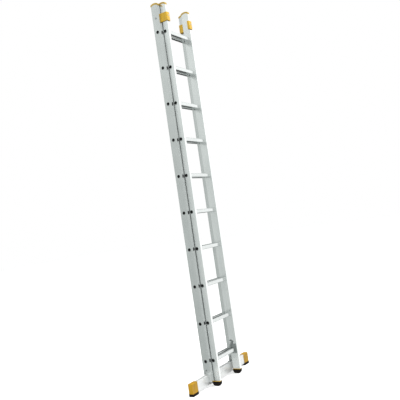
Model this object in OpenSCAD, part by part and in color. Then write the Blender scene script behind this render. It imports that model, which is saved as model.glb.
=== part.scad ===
// Two-section extension ladder, closed: a base section that stands on a stabiliser bar, and a
// narrower fly section that slides up in front of it, held by two guides at the base's top.
// X is the width, -Y the climber's side, +Z up along the stiles. The origin is on the floor,
// under the middle of the closed ladder.

/* [Sections] */
// Number of rungs in each section
rung_count = 10; // [6:1:12]
// Distance from one rung to the next
rung_pitch = 280; // [230:5:320]
// Height of the lowest rungs' axis above the floor
first_rung_z = 190; // [170:5:240]
// Length of stile above the top rung's axis, up to the crown of its arched end
stile_above_rung = 215; // [180:1:270]
// Width over the base section's stiles
base_w = 400; // [330:5:520]
// Side gap between a base stile and the fly stile beside it
nest_gap = 8; // [7:0.5:14]
// Gap between the base rungs and the fly stiles in front of them
rung_to_fly = 1.5; // [1:0.5:6]

/* [Stiles] */
// Depth of a stile, front to back
stile_d = 64; // [56:1:90]
// Thickness of a stile, across the ladder
stile_t = 25; // [22:0.5:32]
// Wall of the stile's box section
stile_wall = 1.8; // [1.2:0.1:3]
// Outer corner radius of the stile's section
stile_r = 3; // [2:0.5:5]
// Depth of the two sight grooves along each broad face
groove_depth = 0.6; // [0.3:0.1:0.8]
// Distance of each groove from the middle of the face
groove_y = 21; // [17:0.5:24]

/* [Rungs] */
// Depth and height of the rung's section
rung_s = 28; // [24:1:34]
// Corner radius of the rung's section
rung_r = 5; // [3:0.5:8]
// Wall of the rung
rung_wall = 1.6; // [1.2:0.1:2.5]
// Height of the ribs on the tread
rib_h = 0.8; // [0.4:0.1:1.2]
// Number of ribs on the tread
rib_count = 5; // [3:1:6]
// How much narrower the round spigot at each end is than the rung
spigot_step = 0.5; // [0.5:0.5:6]
// Wall of the spigot
spigot_wall = 1.2; // [1.2:0.1:2.2]
// How far the swaged lip stands out from the stile
lip_t = 1.2; // [0.8:0.1:1.6]
// Width of the swaged lip round the spigot
lip_w = 2.6; // [1.5:0.1:3.5]

/* [Top caps and feet] */
// Rise of a stile's arched end from its edges to its crown
arch_rise = 11; // [8:1:20]
// Thickness of the cap that follows the arch
cap_t = 13; // [4:0.5:15]
// How far a cap or foot rim stands proud of the stile
rim_proud = 0.8; // [0.4:0.1:1]
// How far a foot stands proud of the stile's broad faces
foot_proud = 2; // [1:0.5:3]
// Length of the plug inside the stile
plug_len = 28; // [20:1:45]
// Height from the floor to the underside of a fly stile
foot_h = 37; // [30:1:45]
// Height of the coloured rim above the rubber foot
foot_rim_h = 4; // [3:0.5:6]
// Height from the floor to the underside of a base stile
base_stile_z = 35; // [28:1:45]

/* [Guides] */
// Height of a guide
guide_h = 66; // [50:1:90]
// Distance of a guide's middle above the top rung's axis
guide_up = 110; // [95:1:130]
// Thickness of the guide in front of the fly stile
guide_front_t = 7; // [5:0.5:10]
// Width of the lip that laps the fly stile's inner edge
guide_lip_w = 9; // [5:0.5:12]
// How far that lip reaches back along the stile
guide_lip_reach = 12; // [8:0.5:14]
// Clearance between a guide and the fly stile
guide_clear = 0.8; // [0.5:0.1:1.5]
// Thickness of the block behind the fly stile
guide_block_t = 17; // [14:0.5:20]

/* [Stabiliser] */
// Width over the stabiliser bar's end caps
bar_w = 840; // [640:10:1200]
// Height of the bar
bar_h = 74; // [60:1:90]
// Depth of the bar
bar_d = 30; // [25:1:34]
// Wall of the bar
bar_wall = 2; // [1.5:0.1:3]
// Height from the floor to the underside of the bar
bar_z = 15; // [12:1:24]
// Length of an end cap
end_cap_len = 68; // [50:1:90]
// Wall of an end cap
end_cap_wall = 3.5; // [2.5:0.5:5]

/* [Rung hooks] */
// Thickness of a hook plate and of its arm
hook_t = 4; // [3:0.5:5]
// Reach of the hook's nose below the top of the rung
hook_nose = 16; // [10:1:20]
// Angle from parked to hooked over a base rung
hook_swing = 120; // [110:1:140]
// Running clearance of the arm on its pin, on the radius
pin_clear = 0.05; // [0.02:0.01:0.1]

/* [Hidden] */
$fn = 48;
// sides of the small rounds on fasteners
fine = 32;
// overlap of a cutting tool past the face it cuts
cut = 1;
// clearance of a plug in a stile, on each side, and its corner radius
plug_clear = 0.3;
plug_r = 1;
// clearance round a spigot or a bolt in its hole, on the radius
hole_clear = 0.1;
// thickness of a bolt's head and of a nut, and their sizes across the flats
m8_d = 8;
m8_head_h = 5.3;
m8_nut_h = 6.5;
m8_flats = 13;
m6_d = 6;
m6_head_h = 4;
m6_flats = 10;
screw_d = 5;
screw_head_d = 9;
screw_head_h = 2.2;
screw_len = 5;

// length of a rung's end that is drawn down to the spigot's bore
rung_end = 8;
// outer diameter of a rung's spigots
spigot_d = rung_s - spigot_step;
inner_face = base_w / 2 - stile_t;
fly_w = 2 * (inner_face - nest_gap);
fly_inner = fly_w / 2 - stile_t;
top_rung_z = first_rung_z + (rung_count - 1) * rung_pitch;
stile_top = top_rung_z + stile_above_rung;
// distance of the fly's plane in front of the base's
nest_d = rung_s / 2 + rung_to_fly + stile_d / 2;
guide_front = nest_d + stile_d / 2 + guide_clear + guide_front_t;
// what stands out furthest behind the base's plane: its stiles or the soles' rims
bar_inset = 1.5;
sole_rim = 2.5;
rear = stile_d / 2 + max(0, sole_rim - bar_inset);
// the guide's corners, its set-back from the base stile's back, its shoulder from the inner face,
// its gap past the fly rungs' lips, and the depth of block left past its bolt
guide_r = 5;
guide_set_in = 4;
guide_shoulder = 1;
lip_gap = 0.4;
guide_bolt_in = 3;
// radius of a stile's arched end
arch_r = arc_r(stile_d, arch_rise);
// the base's plane, so that the closed ladder is centred front to back
base_y = (guide_front + screw_head_h - rear) / 2;
fly_y = base_y - nest_d;
guide_z = top_rung_z + guide_up;
// the guide's front and back faces
guide_front_y = fly_y - stile_d / 2 - guide_clear - guide_front_t;
guide_rear = base_y + stile_d / 2 - guide_set_in;
screw_z = guide_z + 6;
// the bar's middle lies behind the base stiles' middle
bar_y = base_y + stile_d / 2 - bar_inset - end_cap_wall - bar_d / 2;
bar_front = bar_y - bar_d / 2;
notch_gap = 3;
// outer corner radii of the bar and of its end caps
bar_r = 3;
end_cap_r = bar_r + 2;
bar_top = bar_z + bar_h;
angle_t = 4;
angle_leg = 34;
angle_h = 50;
angle_d = bar_d - 2;
// how far a stile's bolts stand out past their nuts, and the length of the bolts into the bar
bolt_past = 2;
bar_bolt_len = 12;
// Y and Z of the two bolts through a stile and its angle
stile_bolt_places = [[bar_y - 7, bar_top + 36], [bar_y + 7, bar_top + 14]];
bar_bolt_in = 20;
// corner radius of a base plug's rim, and how far its shank is set back
base_plug_r = 2;
base_plug_back = 0.5;
// radius of the soles' lower edges, and of the curve under a foot
sole_edge_r = 6;
// how far a sole laps up round its end cap
sole_lap = 8;
foot_r = 34.5;
// how deep a foot's curve is cut off flat
foot_flat_cut = 4.5;
// how far the end cap is above the floor, which the sole fills
sole_h = bar_z - end_cap_wall;
hook_pivot_y = stile_d / 2 - 9.5;
hook_pivot_z = 24;
hook_arm_r = 8;
hook_pin_d = 6;
hook_gap = 0.6;
// width of the nose, height of the beam's top above the pivot, gap from the arm to its plate
hook_nose_w = 8;
hook_beam_top = 4;
arm_gap = 0.4;
// thickness of a pin's head, how far it stands out round the pin, and the pin's reach past the wall
pin_head = 2;
hook_rivet_d = 4.8;
// metal left behind the pin's hole; the plate is as deep as that asks, and as low and as high
pin_edge = 2;
plate_d = 2 * (hook_pivot_y + hook_pin_d / 2 + pin_edge);
plate_low = 30;
plate_high = 45;
plate_r = 5;
// clearance of the plate's opening round the rung, on its full width
plate_fit = 1;
rivet_head_d = 8.5;
rivet_head_h = 1.6;

rungs = [for (i = [1 : rung_count]) i];
sides = [["left", -1], ["right", 1]];
pair_names = ["base_stile", "base_cap", "base_plug", "guide", "bar_cap", "bar_sole", "bar_angle",
              "fly_stile", "fly_cap", "foot_socket", "foot_pad", "hook_plate", "hook_arm"];
group_names = ["guide_bolts", "guide_screws", "stabiliser_bar", "stile_bolts", "stile_nuts",
               "bar_bolts", "hook_pins", "hook_rivets"];

metal = [0.80, 0.83, 0.82];
steel = [0.50, 0.53, 0.52];
yellow = [0.84, 0.63, 0.12];
rubber = [0.07, 0.06, 0.05];

// --- helpers -----------------------------------------------------------------------------

// Height of rung i, counted from the bottom.
function rung_z(i) = first_rung_z + (i - 1) * rung_pitch;

// Radius of the arc with this chord and rise.
function arc_r(chord, rise) = (chord * chord / 4 + rise * rise) / (2 * rise);

// A rectangle centred on the origin with round corners.
module rounded(w, d, r) {
    square([w - 2 * r, d], center = true);
    square([w, d - 2 * r], center = true);
    for (x = [-1, 1], y = [-1, 1])
        translate([x * (w / 2 - r), y * (d / 2 - r)]) circle(r);
}

// Extrudes an outline drawn in Y and Z along X, both ways from the middle.
module along_x(length) {
    rotate([90, 0, 90]) linear_extrude(length, center = true) children();
}

// A cylinder along X between two X positions.
module bar_x(x0, x1, r, sides_n = $fn) {
    translate([min(x0, x1), 0, 0]) rotate([0, 90, 0]) cylinder(h = abs(x1 - x0), r = r, $fn = sides_n);
}

// A hexagon prism along X, given its size across the flats.
module hex_x(x0, x1, flats) {
    bar_x(x0, x1, flats / sqrt(3), 6);
}

// Its child, turned over to the ladder's other side when side is -1.
module on_side(side) {
    if (side > 0) children();
    else mirror([1, 0, 0]) children();
}

// --- stiles ------------------------------------------------------------------------------

module stile_outline() {
    difference() {
        rounded(stile_t, stile_d, stile_r);
        for (x = [-1, 1], y = [-1, 1])
            translate([x * stile_t / 2, y * groove_y])
                polygon([[0.5 * x, -2 * groove_depth], [-groove_depth * x, 0], [0.5 * x, 2 * groove_depth]]);
    }
}

module stile_cavity() {
    rounded(stile_t - 2 * stile_wall, stile_d - 2 * stile_wall, stile_r - stile_wall);
}

// What lies under a stile's arched end, in Y and Z from its middle line, raised by lift.
module under_arch(lift = 0) {
    edge_z = stile_top - arch_rise;
    intersection() {
        translate([0, stile_top + lift - arch_r]) circle(arch_r, $fn = 96);
        translate([-stile_d, edge_z - cut]) square([2 * stile_d, 2 * arch_rise]);
    }
    translate([-stile_d / 2, 0]) square([stile_d, edge_z]);
}

// A stile of the right-hand side, with its outer face at x_out and its middle at y_mid.
module stile(x_out, y_mid, z_low) {
    difference() {
        intersection() {
            translate([x_out - stile_t / 2, y_mid, z_low])
                linear_extrude(stile_top - z_low)
                    difference() {
                        stile_outline();
                        stile_cavity();
                    }
            translate([x_out, y_mid, 0]) along_x(4 * stile_t) under_arch();
        }
        for (i = rungs)
            translate([0, y_mid, rung_z(i)])
                bar_x(x_out - stile_t - cut, x_out + cut, spigot_d / 2 + hole_clear);
    }
}

module base_stile(side) {
    color(metal) on_side(side) difference() {
        stile(base_w / 2, base_y, base_stile_z);
        // the back is cut away to take the stabiliser bar
        translate([base_w / 2 - stile_t - cut, bar_front, base_stile_z - cut])
            cube([stile_t + 2 * cut, stile_d, bar_top + notch_gap - base_stile_z + cut]);
        translate([0, base_y, guide_z])
            bar_x(inner_face - cut, base_w / 2 + cut, m8_d / 2 + hole_clear);
        for (p = stile_bolt_places)
            translate([0, p[0], p[1]]) bar_x(inner_face - cut, base_w / 2 + cut, m8_d / 2 + hole_clear);
    }
}

module fly_stile(side) {
    color(metal) on_side(side) difference() {
        stile(fly_w / 2, fly_y, foot_h);
        // the hook's pin and rivets go through the inner wall
        for (p = concat(hook_rivet_places(), [[hook_pivot_y, hook_pivot_z, hook_pin_d]]))
            translate([0, fly_y + p[0], first_rung_z + p[1]])
                bar_x(fly_inner - cut, fly_inner + stile_wall + cut, p[2] / 2);
    }
}

// --- rungs -------------------------------------------------------------------------------

module rung_outline() {
    rib_w = (rung_s - 2 * rung_r) / (2 * rib_count - 1);
    rounded(rung_s, rung_s, rung_r);
    for (k = [0 : rib_count - 1])
        translate([-rung_s / 2 + rung_r + 2 * k * rib_w, rung_s / 2 - rib_h])
            square([rib_w, 2 * rib_h]);
}

// A rung whose spigots pass through stiles with their outer faces at half_w on either side.
module rung(half_w, y_mid, z_mid) {
    in_face = half_w - stile_t;
    color(metal) translate([0, y_mid, z_mid]) difference() {
        union() {
            along_x(2 * in_face) rung_outline();
            for (s = [-1, 1]) {
                bar_x(s * (in_face - cut), s * (half_w + lip_t), spigot_d / 2);
                bar_x(s * half_w, s * (half_w + lip_t), spigot_d / 2 + lip_w);
            }
        }
        along_x(2 * (in_face - rung_end))
            rounded(rung_s - 2 * rung_wall, rung_s - 2 * rung_wall, rung_r - rung_wall);
        bar_x(-half_w - lip_t - cut, half_w + lip_t + cut, spigot_d / 2 - spigot_wall);
    }
}

// --- caps and feet -----------------------------------------------------------------------

// What fills a stile's cavity, in X and Y.
module plug_outline() {
    rounded(stile_t - 2 * (stile_wall + plug_clear), stile_d - 2 * (stile_wall + plug_clear), plug_r);
}

// A cap that follows the arched end of a stile whose middle is at x_mid, y_mid.
module top_cap(x_mid, y_mid) {
    plug_z = stile_top - arch_rise - plug_len;
    translate([x_mid, y_mid, 0]) {
        intersection() {
            translate([0, 0, stile_top - arch_rise]) linear_extrude(arch_rise + cap_t)
                rounded(stile_t + 2 * rim_proud, stile_d + 2 * rim_proud, stile_r);
            translate([0, 0, stile_top - arch_r]) along_x(2 * stile_t) difference() {
                circle(arch_r + cap_t, $fn = 96);
                circle(arch_r, $fn = 96);
            }
        }
        intersection() {
            translate([0, 0, plug_z]) linear_extrude(stile_top) plug_outline();
            along_x(2 * stile_t) under_arch(cut);
        }
    }
}

module base_cap(side) {
    color(yellow) on_side(side) top_cap(base_w / 2 - stile_t / 2, base_y);
}

module fly_cap(side) {
    color(yellow) on_side(side) top_cap(fly_w / 2 - stile_t / 2, fly_y);
}

// The dark plug that closes what is left of the base stile in front of the bar.
module base_plug(side) {
    plug_d = bar_front - (base_y - stile_d / 2);
    color(rubber) on_side(side) translate([base_w / 2 - stile_t / 2, bar_front - plug_d / 2, 0]) {
        translate([0, 0, base_stile_z - foot_rim_h])
            linear_extrude(foot_rim_h) rounded(stile_t, plug_d, base_plug_r);
        translate([0, base_plug_back, base_stile_z - cut]) linear_extrude(plug_len)
            square([stile_t - 2 * (stile_wall + plug_clear), plug_d - 2 * (stile_wall + plug_clear)],
                   center = true);
    }
}

module foot_outline() {
    rounded(stile_t + 2 * foot_proud, stile_d + 2 * rim_proud, stile_r);
}

module foot_socket(side) {
    color(yellow) on_side(side) translate([fly_w / 2 - stile_t / 2, fly_y, foot_h]) {
        translate([0, 0, -foot_rim_h]) linear_extrude(foot_rim_h) foot_outline();
        translate([0, 0, -cut]) linear_extrude(plug_len) plug_outline();
    }
}

// A rubber foot, flat underneath in the middle and curved up to its front and back.
module foot_pad(side) {
    color(rubber) on_side(side) translate([fly_w / 2 - stile_t / 2, fly_y, 0])
        intersection() {
            linear_extrude(foot_h - foot_rim_h) foot_outline();
            along_x(2 * stile_t) union() {
                translate([0, foot_r - foot_flat_cut]) circle(foot_r, $fn = 96);
                translate([-stile_d, foot_r - foot_flat_cut]) square([2 * stile_d, stile_d]);
            }
        }
}

// --- guides ------------------------------------------------------------------------------

// The guide of the right-hand side, seen from above: a block behind the fly stile, a web in the
// gap beside it, and a front that turns round its inner edge.
module guide_outline() {
    web_in = inner_face - nest_gap + lip_t + lip_gap;
    front_y = fly_y - stile_d / 2 - guide_clear;
    lip_out = fly_inner - guide_clear;
    lip_in = lip_out - guide_lip_w;
    shoulder = inner_face - guide_shoulder;
    base_front = base_y - stile_d / 2 - guide_clear;
    block_front = base_y - rung_s / 2 - rung_to_fly + guide_clear;
    difference() {
        translate([(shoulder + lip_in) / 2, (base_front + front_y - guide_front_t) / 2])
            rounded(shoulder - lip_in, base_front - front_y + guide_front_t, guide_r);
        translate([lip_out, front_y]) square([web_in - lip_out, stile_d]);
        translate([lip_in - cut, front_y + guide_lip_reach])
            square([lip_out - lip_in + 2 * cut, stile_d]);
    }
    translate([web_in, base_front - guide_r])
        square([inner_face - web_in, guide_rear - base_front + guide_r]);
    translate([inner_face - guide_block_t, block_front])
        square([guide_block_t, guide_rear - block_front]);
}

module guide(side) {
    color(yellow) on_side(side) difference() {
        translate([0, 0, guide_z - guide_h / 2]) linear_extrude(guide_h) guide_outline();
        translate([0, base_y, guide_z])
            bar_x(inner_face - guide_block_t + guide_bolt_in - cut, inner_face + cut, m8_d / 2 + hole_clear);
        translate([fly_inner + stile_t / 2, guide_front_y - cut, screw_z])
            rotate([-90, 0, 0]) cylinder(h = screw_len + cut, r = screw_d / 2 + hole_clear);
    }
}

module guide_bolts() {
    color(steel) for (s = [-1, 1]) translate([0, base_y, guide_z]) {
        hex_x(s * base_w / 2, s * (base_w / 2 + m8_head_h), m8_flats);
        bar_x(s * (inner_face - guide_block_t + guide_bolt_in), s * (base_w / 2 + cut), m8_d / 2, fine);
    }
}

module guide_screws() {
    color(steel) for (s = [-1, 1])
        translate([s * (fly_inner + stile_t / 2), guide_front_y, screw_z])
            rotate([-90, 0, 0]) {
                translate([0, 0, -screw_head_h]) cylinder(h = screw_head_h, r = screw_head_d / 2, $fn = fine);
                translate([0, 0, -cut]) cylinder(h = screw_len, r = screw_d / 2, $fn = fine);
            }
}

// --- stabiliser --------------------------------------------------------------------------

module stabiliser_bar() {
    color(metal) translate([0, bar_y, bar_z + bar_h / 2]) difference() {
        along_x(bar_w - 2 * end_cap_wall) difference() {
            rounded(bar_d, bar_h, bar_r);
            rounded(bar_d - 2 * bar_wall, bar_h - 2 * bar_wall, bar_r - bar_wall);
        }
        for (s = [-1, 1])
            translate([s * (inner_face - bar_bolt_in), 0, bar_h / 2 - 2 * bar_wall])
                cylinder(h = 4 * bar_wall, r = m6_d / 2 + hole_clear);
    }
}

module bar_cap(side) {
    cap_d = bar_d + 2 * end_cap_wall;
    cap_z = bar_h + 2 * end_cap_wall;
    color(yellow) on_side(side) translate([bar_w / 2 - end_cap_len / 2, bar_y, bar_z + bar_h / 2])
        difference() {
            along_x(end_cap_len) rounded(cap_d, cap_z, end_cap_r);
            translate([-end_cap_wall - cut, 0, 0])
                along_x(end_cap_len + 2 * cut) rounded(bar_d, bar_h, bar_r);
        }
}

// The rubber sole under an end cap, which laps up round the cap's lower edge.
module bar_sole(side) {
    sole_d = bar_d + 2 * (end_cap_wall + sole_rim);
    sole_len = end_cap_len + 2 * sole_rim;
    color(rubber) on_side(side) difference() {
        translate([bar_w / 2 - end_cap_len / 2, bar_y, 0]) intersection() {
            along_x(sole_len) translate([0, stile_d / 2]) rounded(sole_d, stile_d, sole_edge_r);
            linear_extrude(sole_h + sole_lap) rounded(sole_len, sole_d, sole_edge_r);
        }
        translate([bar_w / 2 - end_cap_len / 2, bar_y, bar_z + bar_h / 2]) {
            along_x(end_cap_len)
                rounded(bar_d + 2 * end_cap_wall, bar_h + 2 * end_cap_wall, end_cap_r);
            along_x(2 * end_cap_len) rounded(bar_d, bar_h, bar_r);
        }
    }
}

// The angle that ties a base stile to the top of the bar.
module bar_angle(side) {
    color(steel) on_side(side) difference() {
        translate([0, bar_y - angle_d / 2, bar_top]) union() {
            translate([inner_face - angle_t, 0, 0]) cube([angle_t, angle_d, angle_h]);
            translate([inner_face - angle_leg, 0, 0]) cube([angle_leg, angle_d, angle_t]);
        }
        for (p = stile_bolt_places)
            translate([0, p[0], p[1]]) bar_x(inner_face - angle_leg, inner_face + cut, m8_d / 2 + hole_clear);
        translate([inner_face - bar_bolt_in, bar_y, bar_top - cut])
            cylinder(h = angle_t + 2 * cut, r = m6_d / 2 + hole_clear);
    }
}

module stile_bolts() {
    color(steel) for (s = [-1, 1], p = stile_bolt_places) translate([0, p[0], p[1]]) {
        hex_x(s * base_w / 2, s * (base_w / 2 + m8_head_h), m8_flats);
        bar_x(s * (inner_face - angle_t - m8_nut_h - bolt_past), s * (base_w / 2 + cut), m8_d / 2, fine);
    }
}

module stile_nuts() {
    color(steel) for (s = [-1, 1], p = stile_bolt_places) translate([0, p[0], p[1]])
        difference() {
            hex_x(s * (inner_face - angle_t), s * (inner_face - angle_t - m8_nut_h), m8_flats);
            bar_x(s * inner_face, s * (inner_face - angle_leg), m8_d / 2);
        }
}

module bar_bolts() {
    color(steel) for (s = [-1, 1])
        translate([s * (inner_face - bar_bolt_in), bar_y, bar_top + angle_t]) {
            cylinder(h = m6_head_h, r = m6_flats / sqrt(3), $fn = 6);
            translate([0, 0, -bar_bolt_len]) cylinder(h = bar_bolt_len + cut, r = m6_d / 2, $fn = fine);
        }
}

// --- rung hooks --------------------------------------------------------------------------

// Y, Z and diameter of each rivet of a hook plate, from the lowest fly rung's axis.
function hook_rivet_places() = [
    for (p = [[-18, 30], [-10, -23], [17, -23]]) [p[0], p[1], hook_rivet_d]
];

module hook_plate(side) {
    color(steel) on_side(side) translate([fly_inner - hook_t / 2, fly_y, first_rung_z]) difference() {
        along_x(hook_t) difference() {
            translate([0, (plate_high - plate_low) / 2]) rounded(plate_d, plate_high + plate_low, plate_r);
            rounded(rung_s + plate_fit, rung_s + plate_fit, rung_r);
            translate([0, rung_s / 2])
                square([rung_s - 2 * rung_r + plate_fit, 2 * rib_h + plate_fit], center = true);
        }
        for (p = concat(hook_rivet_places(), [[hook_pivot_y, hook_pivot_z, hook_pin_d]]))
            translate([0, p[0], p[1]]) bar_x(-hook_t, hook_t, p[2] / 2);
    }
}

// The arm, hooked over a base rung, about its pivot: a beam over the tread and a nose behind it.
module hook_arm_outline() {
    tread = rung_s / 2 + rib_h + hook_gap - hook_pivot_z;
    back = nest_d - hook_pivot_y + rung_s / 2 + hook_gap;
    circle(hook_arm_r);
    translate([0, tread]) square([back + hook_nose_w, hook_beam_top - tread]);
    translate([back, tread - hook_nose]) square([hook_nose_w, hook_nose + cut]);
}

module hook_arm(side) {
    color(steel) on_side(side)
        translate([fly_inner - 1.5 * hook_t - arm_gap, fly_y + hook_pivot_y, first_rung_z + hook_pivot_z])
            rotate([hook_swing, 0, 0])
                difference() {
                    along_x(hook_t) hook_arm_outline();
                    bar_x(-hook_t, hook_t, hook_pin_d / 2 + pin_clear);
                }
}

module hook_pins() {
    arm_face = fly_inner - 2 * (hook_t + arm_gap);
    color(steel) for (s = [-1, 1])
        translate([0, fly_y + hook_pivot_y, first_rung_z + hook_pivot_z]) {
            bar_x(s * (fly_inner + stile_wall + pin_head), s * arm_face, hook_pin_d / 2);
            bar_x(s * arm_face, s * (arm_face - pin_head), hook_pin_d / 2 + pin_head);
        }
}

module hook_rivets() {
    color(steel) for (s = [-1, 1], p = hook_rivet_places())
        translate([0, fly_y + p[0], first_rung_z + p[1]]) {
            bar_x(s * (fly_inner - hook_t), s * (fly_inner - hook_t - rivet_head_h), rivet_head_d / 2, fine);
            bar_x(s * (fly_inner - hook_t - cut), s * (fly_inner + stile_wall), p[2] / 2);
        }
}

// --- assembly ----------------------------------------------------------------------------

for (s = sides) {
    base_stile(s[1]);
    base_cap(s[1]);
    base_plug(s[1]);
    guide(s[1]);
    bar_cap(s[1]);
    bar_sole(s[1]);
    bar_angle(s[1]);
    fly_stile(s[1]);
    fly_cap(s[1]);
    foot_socket(s[1]);
    foot_pad(s[1]);
    hook_plate(s[1]);
    hook_arm(s[1]);
}
guide_bolts();
guide_screws();
stabiliser_bar();
stile_bolts();
stile_nuts();
bar_bolts();
hook_pins();
hook_rivets();
for (i = rungs) {
    rung(base_w / 2, base_y, rung_z(i));
    rung(fly_w / 2, fly_y, rung_z(i));
}
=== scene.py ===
"""Finish and fine detail of a two-section extension ladder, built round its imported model."""

import logging
import math
from dataclasses import dataclass
from enum import Enum
from typing import Callable, Iterable, Sequence

import bmesh
import bpy
from mathutils import Matrix, Vector


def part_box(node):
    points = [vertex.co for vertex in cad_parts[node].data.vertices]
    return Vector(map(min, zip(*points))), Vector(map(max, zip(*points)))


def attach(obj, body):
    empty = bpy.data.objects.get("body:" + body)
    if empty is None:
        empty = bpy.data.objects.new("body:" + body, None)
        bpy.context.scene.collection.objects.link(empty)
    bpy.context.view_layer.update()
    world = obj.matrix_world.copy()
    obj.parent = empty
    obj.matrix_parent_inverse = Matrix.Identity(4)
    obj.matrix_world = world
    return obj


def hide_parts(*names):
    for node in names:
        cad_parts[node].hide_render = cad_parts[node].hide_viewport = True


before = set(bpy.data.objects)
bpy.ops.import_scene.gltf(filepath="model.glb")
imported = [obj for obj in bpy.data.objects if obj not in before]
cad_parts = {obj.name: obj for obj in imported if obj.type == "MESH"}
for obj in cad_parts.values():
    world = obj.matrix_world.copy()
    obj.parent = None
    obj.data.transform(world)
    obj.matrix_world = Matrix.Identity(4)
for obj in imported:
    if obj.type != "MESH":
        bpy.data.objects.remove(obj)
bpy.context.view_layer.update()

LOG = logging.getLogger("ladder")
MM = 0.001
# metres within which two places count as one, for the coarse tests and the fine ones
NEAR = 1e-5
SAME = 1e-6
# the angle in degrees past which an edge is shaded sharp
SHARP = 32
SIDES = {"left": -1, "right": 1}

Colour = tuple[float, float, float]


class Axis(Enum):
    """A direction of the ladder's frame, by its place in a vector."""

    X = 0
    Y = 1
    Z = 2


# --- materials ---------------------------------------------------------------------------


class Graph:
    """A node tree, with short calls that add a node and join it up."""

    def __init__(self, tree: bpy.types.NodeTree) -> None:
        """Empties the tree.

        Args:
            tree: the node tree.
        """
        self.tree = tree
        self.tree.nodes.clear()

    def add(self, kind: str, **settings: object) -> bpy.types.Node:
        """Adds a node and sets its own properties.

        Args:
            kind: the node's type name.
            settings: properties of the node, by name.

        Returns:
            The new node.
        """
        node = self.tree.nodes.new(kind)
        for key, value in settings.items():
            setattr(node, key, value)
        return node

    def join(self, source: bpy.types.NodeSocket, target: bpy.types.NodeSocket) -> None:
        """Links one socket to another."""
        self.tree.links.new(source, target)

    def feed(self, socket: bpy.types.NodeSocket, value: object) -> None:
        """Joins a socket to another, or gives it a value."""
        if isinstance(value, bpy.types.NodeSocket):
            self.join(value, socket)
        else:
            socket.default_value = value

    def ranged(
        self,
        value: bpy.types.NodeSocket,
        source: tuple[float, float],
        target: tuple[float, float],
    ) -> bpy.types.NodeSocket:
        """Maps a value from one range to another, and holds it inside.

        Args:
            value: the socket to read.
            source: the range that it is read in.
            target: the range that it is given.

        Returns:
            A value socket.
        """
        node = self.add("ShaderNodeMapRange", clamp=True)
        self.join(value, node.inputs["Value"])
        for name, number in zip(
            ("From Min", "From Max", "To Min", "To Max"), (*source, *target)
        ):
            node.inputs[name].default_value = number
        return node.outputs["Result"]

    def sum(
        self, kind: str, *values: float | bpy.types.NodeSocket
    ) -> bpy.types.NodeSocket:
        """Works out one step of arithmetic.

        Args:
            kind: the Math node's operation.
            values: its inputs, as sockets or as numbers.

        Returns:
            A value socket.
        """
        node = self.add("ShaderNodeMath", operation=kind)
        for socket, value in zip(node.inputs, values):
            self.feed(socket, value)
        return node.outputs["Value"]

    def vector(
        self, kind: str, *values: Sequence[float] | bpy.types.NodeSocket
    ) -> bpy.types.Node:
        """Works out one step of vector arithmetic.

        Args:
            kind: the Vector Math node's operation.
            values: its inputs, as sockets or as vectors.

        Returns:
            The node.
        """
        node = self.add("ShaderNodeVectorMath", operation=kind)
        for socket, value in zip(node.inputs, values):
            self.feed(socket, value)
        return node


class Surface(Graph):
    """A material's node tree, with one Principled shader."""

    def __init__(self, name: str) -> None:
        """Starts a material.

        Args:
            name: the material's name.
        """
        self.material = bpy.data.materials.new(name)
        self.material.use_nodes = True
        super().__init__(self.material.node_tree)
        self.shader = self.add("ShaderNodeBsdfPrincipled")
        out = self.add("ShaderNodeOutputMaterial")
        self.join(self.shader.outputs["BSDF"], out.inputs["Surface"])

    def place(self, scale: Sequence[float] = (1, 1, 1)) -> bpy.types.NodeSocket:
        """Gives the point on the object, stretched along each axis.

        Args:
            scale: the stretch along X, Y and Z.

        Returns:
            A vector socket.
        """
        coords = self.add("ShaderNodeTexCoord")
        mapping = self.add("ShaderNodeMapping")
        mapping.inputs["Scale"].default_value = scale
        self.join(coords.outputs["Object"], mapping.inputs["Vector"])
        return mapping.outputs["Vector"]

    def noise(
        self, scale: Sequence[float], detail: float = 2.0, rough: float = 0.5
    ) -> bpy.types.NodeSocket:
        """Makes a noise whose cells are 1/scale metres long along each axis.

        Args:
            scale: cells per metre along X, Y and Z.
            detail: how many finer layers it has.
            rough: how strong those are.

        Returns:
            A value socket, from 0 to 1.
        """
        node = self.add("ShaderNodeTexNoise")
        node.inputs["Scale"].default_value = 1.0
        node.inputs["Detail"].default_value = detail
        node.inputs["Roughness"].default_value = rough
        self.join(self.place(scale), node.inputs["Vector"])
        return node.outputs["Fac"]

    def between(
        self,
        share: bpy.types.NodeSocket,
        first: Colour | bpy.types.NodeSocket,
        second: Colour | bpy.types.NodeSocket,
    ) -> bpy.types.NodeSocket:
        """Mixes two colours.

        Args:
            share: 0 for the first, 1 for the second.
            first: a colour, or a colour socket.
            second: a colour, or a colour socket.

        Returns:
            A colour socket.
        """
        node = self.add("ShaderNodeMix", data_type="RGBA")
        self.join(share, node.inputs[0])
        for socket, colour in ((node.inputs[6], first), (node.inputs[7], second)):
            if isinstance(colour, bpy.types.NodeSocket):
                self.join(colour, socket)
            else:
                socket.default_value = (*colour, 1.0)
        return node.outputs[2]

    def bump(
        self, height: bpy.types.NodeSocket, depth: float, strength: float = 1.0
    ) -> None:
        """Raises the surface by a value, on top of any bump already there.

        Args:
            height: the value.
            depth: how far a value of 1 stands out, in metres.
            strength: how much of it shows.
        """
        node = self.add("ShaderNodeBump")
        node.inputs["Distance"].default_value = depth
        node.inputs["Strength"].default_value = strength
        self.join(height, node.inputs["Height"])
        normal = self.shader.inputs["Normal"]
        for link in normal.links:
            self.join(link.from_socket, node.inputs["Normal"])
        self.join(node.outputs["Normal"], normal)

    def set(self, name: str, value: float | Colour | bpy.types.NodeSocket) -> None:
        """Sets or joins one of the shader's inputs."""
        socket = self.shader.inputs[name]
        if isinstance(value, bpy.types.NodeSocket):
            self.join(value, socket)
        elif isinstance(value, tuple):
            socket.default_value = (*value, 1.0)
        else:
            socket.default_value = value


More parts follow.
